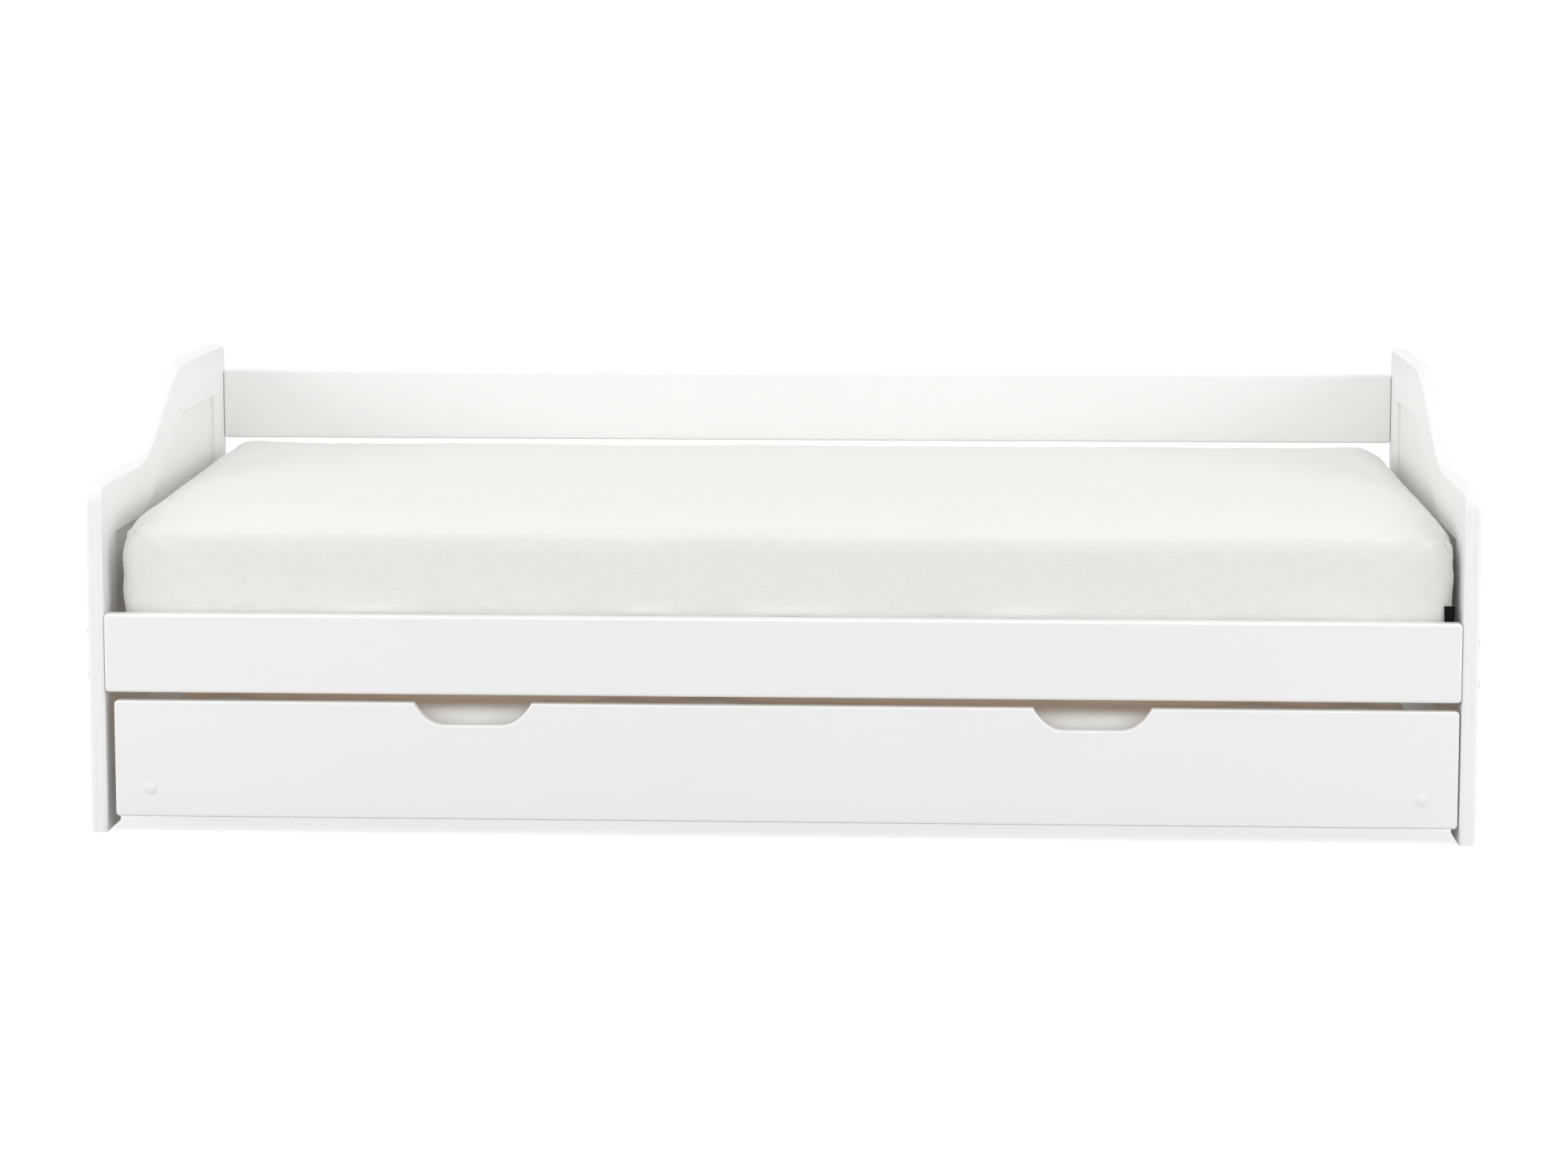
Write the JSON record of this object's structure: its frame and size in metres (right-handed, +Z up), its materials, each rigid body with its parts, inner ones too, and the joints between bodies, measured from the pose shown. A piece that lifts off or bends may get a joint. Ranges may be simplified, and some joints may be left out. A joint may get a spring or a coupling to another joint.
{
  "type": "trundle bed",
  "caption": "White painted single day bed with swept framed ends, a low back rail and a mattress, over a pull-out trundle bed on castors.",
  "frame": {"origin": "on the floor, under the middle of the bed", "axes": "+Z up, X along the bed, the open side with the trundle faces -Y"},
  "size_m": [2.06, 0.944, 0.654],
  "materials": {
    "white_paint": "satin white paint over wood",
    "pine": "planed, unfinished",
    "birch_slat": "bent plywood, clear lacquer",
    "webbing": "woven strap",
    "mattress_cover": "fine white jersey cover",
    "black_tape": "plain woven tape",
    "cap_plastic": "satin moulded",
    "zinc_steel": "bright zinc plated",
    "grey_nylon": "moulded, matt"
  },
  "bodies": {
    "bed": {"left_front_stile": "white_paint", "left_rear_stile": "white_paint", "left_top_rail": "white_paint", "left_bottom_rail": "white_paint", "left_panel": "white_paint", "right_front_stile": "white_paint", "right_rear_stile": "white_paint", "right_top_rail": "white_paint", "right_bottom_rail": "white_paint", "right_panel": "white_paint", "front_side_rail": "white_paint", "upper_back_rail": "white_paint", "lower_back_rail": "white_paint", "front_slat_ledger": "pine", "back_slat_ledger": "pine", "bed_slat_01": "birch_slat", "bed_slat_02": "birch_slat", "bed_slat_03": "birch_slat", "bed_slat_04": "birch_slat", "bed_slat_05": "birch_slat", "bed_slat_06": "birch_slat", "bed_slat_07": "birch_slat", "bed_slat_08": "birch_slat", "bed_slat_09": "birch_slat", "bed_slat_10": "birch_slat", "bed_slat_11": "birch_slat", "bed_slat_12": "birch_slat", "bed_slat_13": "birch_slat", "front_slat_webbing": "webbing", "back_slat_webbing": "webbing", "bed_mattress": "mattress_cover", "mattress_side_tab": "black_tape"},
    "trundle": {"trundle_front_board": "white_paint", "trundle_back_board": "white_paint", "trundle_left_board": "white_paint", "trundle_right_board": "white_paint", "trundle_left_bearer": "pine", "trundle_middle_bearer": "pine", "trundle_right_bearer": "pine", "trundle_plank_1": "birch_slat", "trundle_plank_2": "birch_slat", "trundle_plank_3": "birch_slat", "trundle_plank_4": "birch_slat", "trundle_plank_5": "birch_slat", "trundle_plank_6": "birch_slat", "left_cover_cap": "cap_plastic", "right_cover_cap": "cap_plastic", "trundle_mattress": "mattress_cover", "front_left_castor_fork": "zinc_steel", "front_left_castor_axle": "zinc_steel", "front_right_castor_fork": "zinc_steel", "front_right_castor_axle": "zinc_steel", "rear_left_castor_fork": "zinc_steel", "rear_left_castor_axle": "zinc_steel", "rear_right_castor_fork": "zinc_steel", "rear_right_castor_axle": "zinc_steel"},
    "front_left_wheel": {"front_left_castor_wheel": "grey_nylon"},
    "front_right_wheel": {"front_right_castor_wheel": "grey_nylon"},
    "rear_left_wheel": {"rear_left_castor_wheel": "grey_nylon"},
    "rear_right_wheel": {"rear_right_castor_wheel": "grey_nylon"}
  },
  "joints": [
    {"name": "trundle_slide", "type": "slide", "parent": "bed", "child": "trundle", "axis": [0, -1, 0], "range_m": [0, 0.94]},
    {"name": "front_left_wheel_roll", "type": "hinge", "parent": "trundle", "child": "front_left_wheel", "pos_m": [-0.9003, -0.331, 0.02], "axis": [1, 0, 0], "continuous": true},
    {"name": "front_right_wheel_roll", "type": "hinge", "parent": "trundle", "child": "front_right_wheel", "pos_m": [0.9109, -0.331, 0.02], "axis": [1, 0, 0], "continuous": true},
    {"name": "rear_left_wheel_roll", "type": "hinge", "parent": "trundle", "child": "rear_left_wheel", "pos_m": [-0.9003, 0.331, 0.02], "axis": [1, 0, 0], "continuous": true},
    {"name": "rear_right_wheel_roll", "type": "hinge", "parent": "trundle", "child": "rear_right_wheel", "pos_m": [0.9109, 0.331, 0.02], "axis": [1, 0, 0], "continuous": true}
  ],
  "couplings": [
    {"joint": "front_left_wheel_roll", "follows": "trundle_slide", "rad_per_m": 50},
    {"joint": "front_right_wheel_roll", "follows": "trundle_slide", "rad_per_m": 50},
    {"joint": "rear_left_wheel_roll", "follows": "trundle_slide", "rad_per_m": 50},
    {"joint": "rear_right_wheel_roll", "follows": "trundle_slide", "rad_per_m": 50}
  ]
}
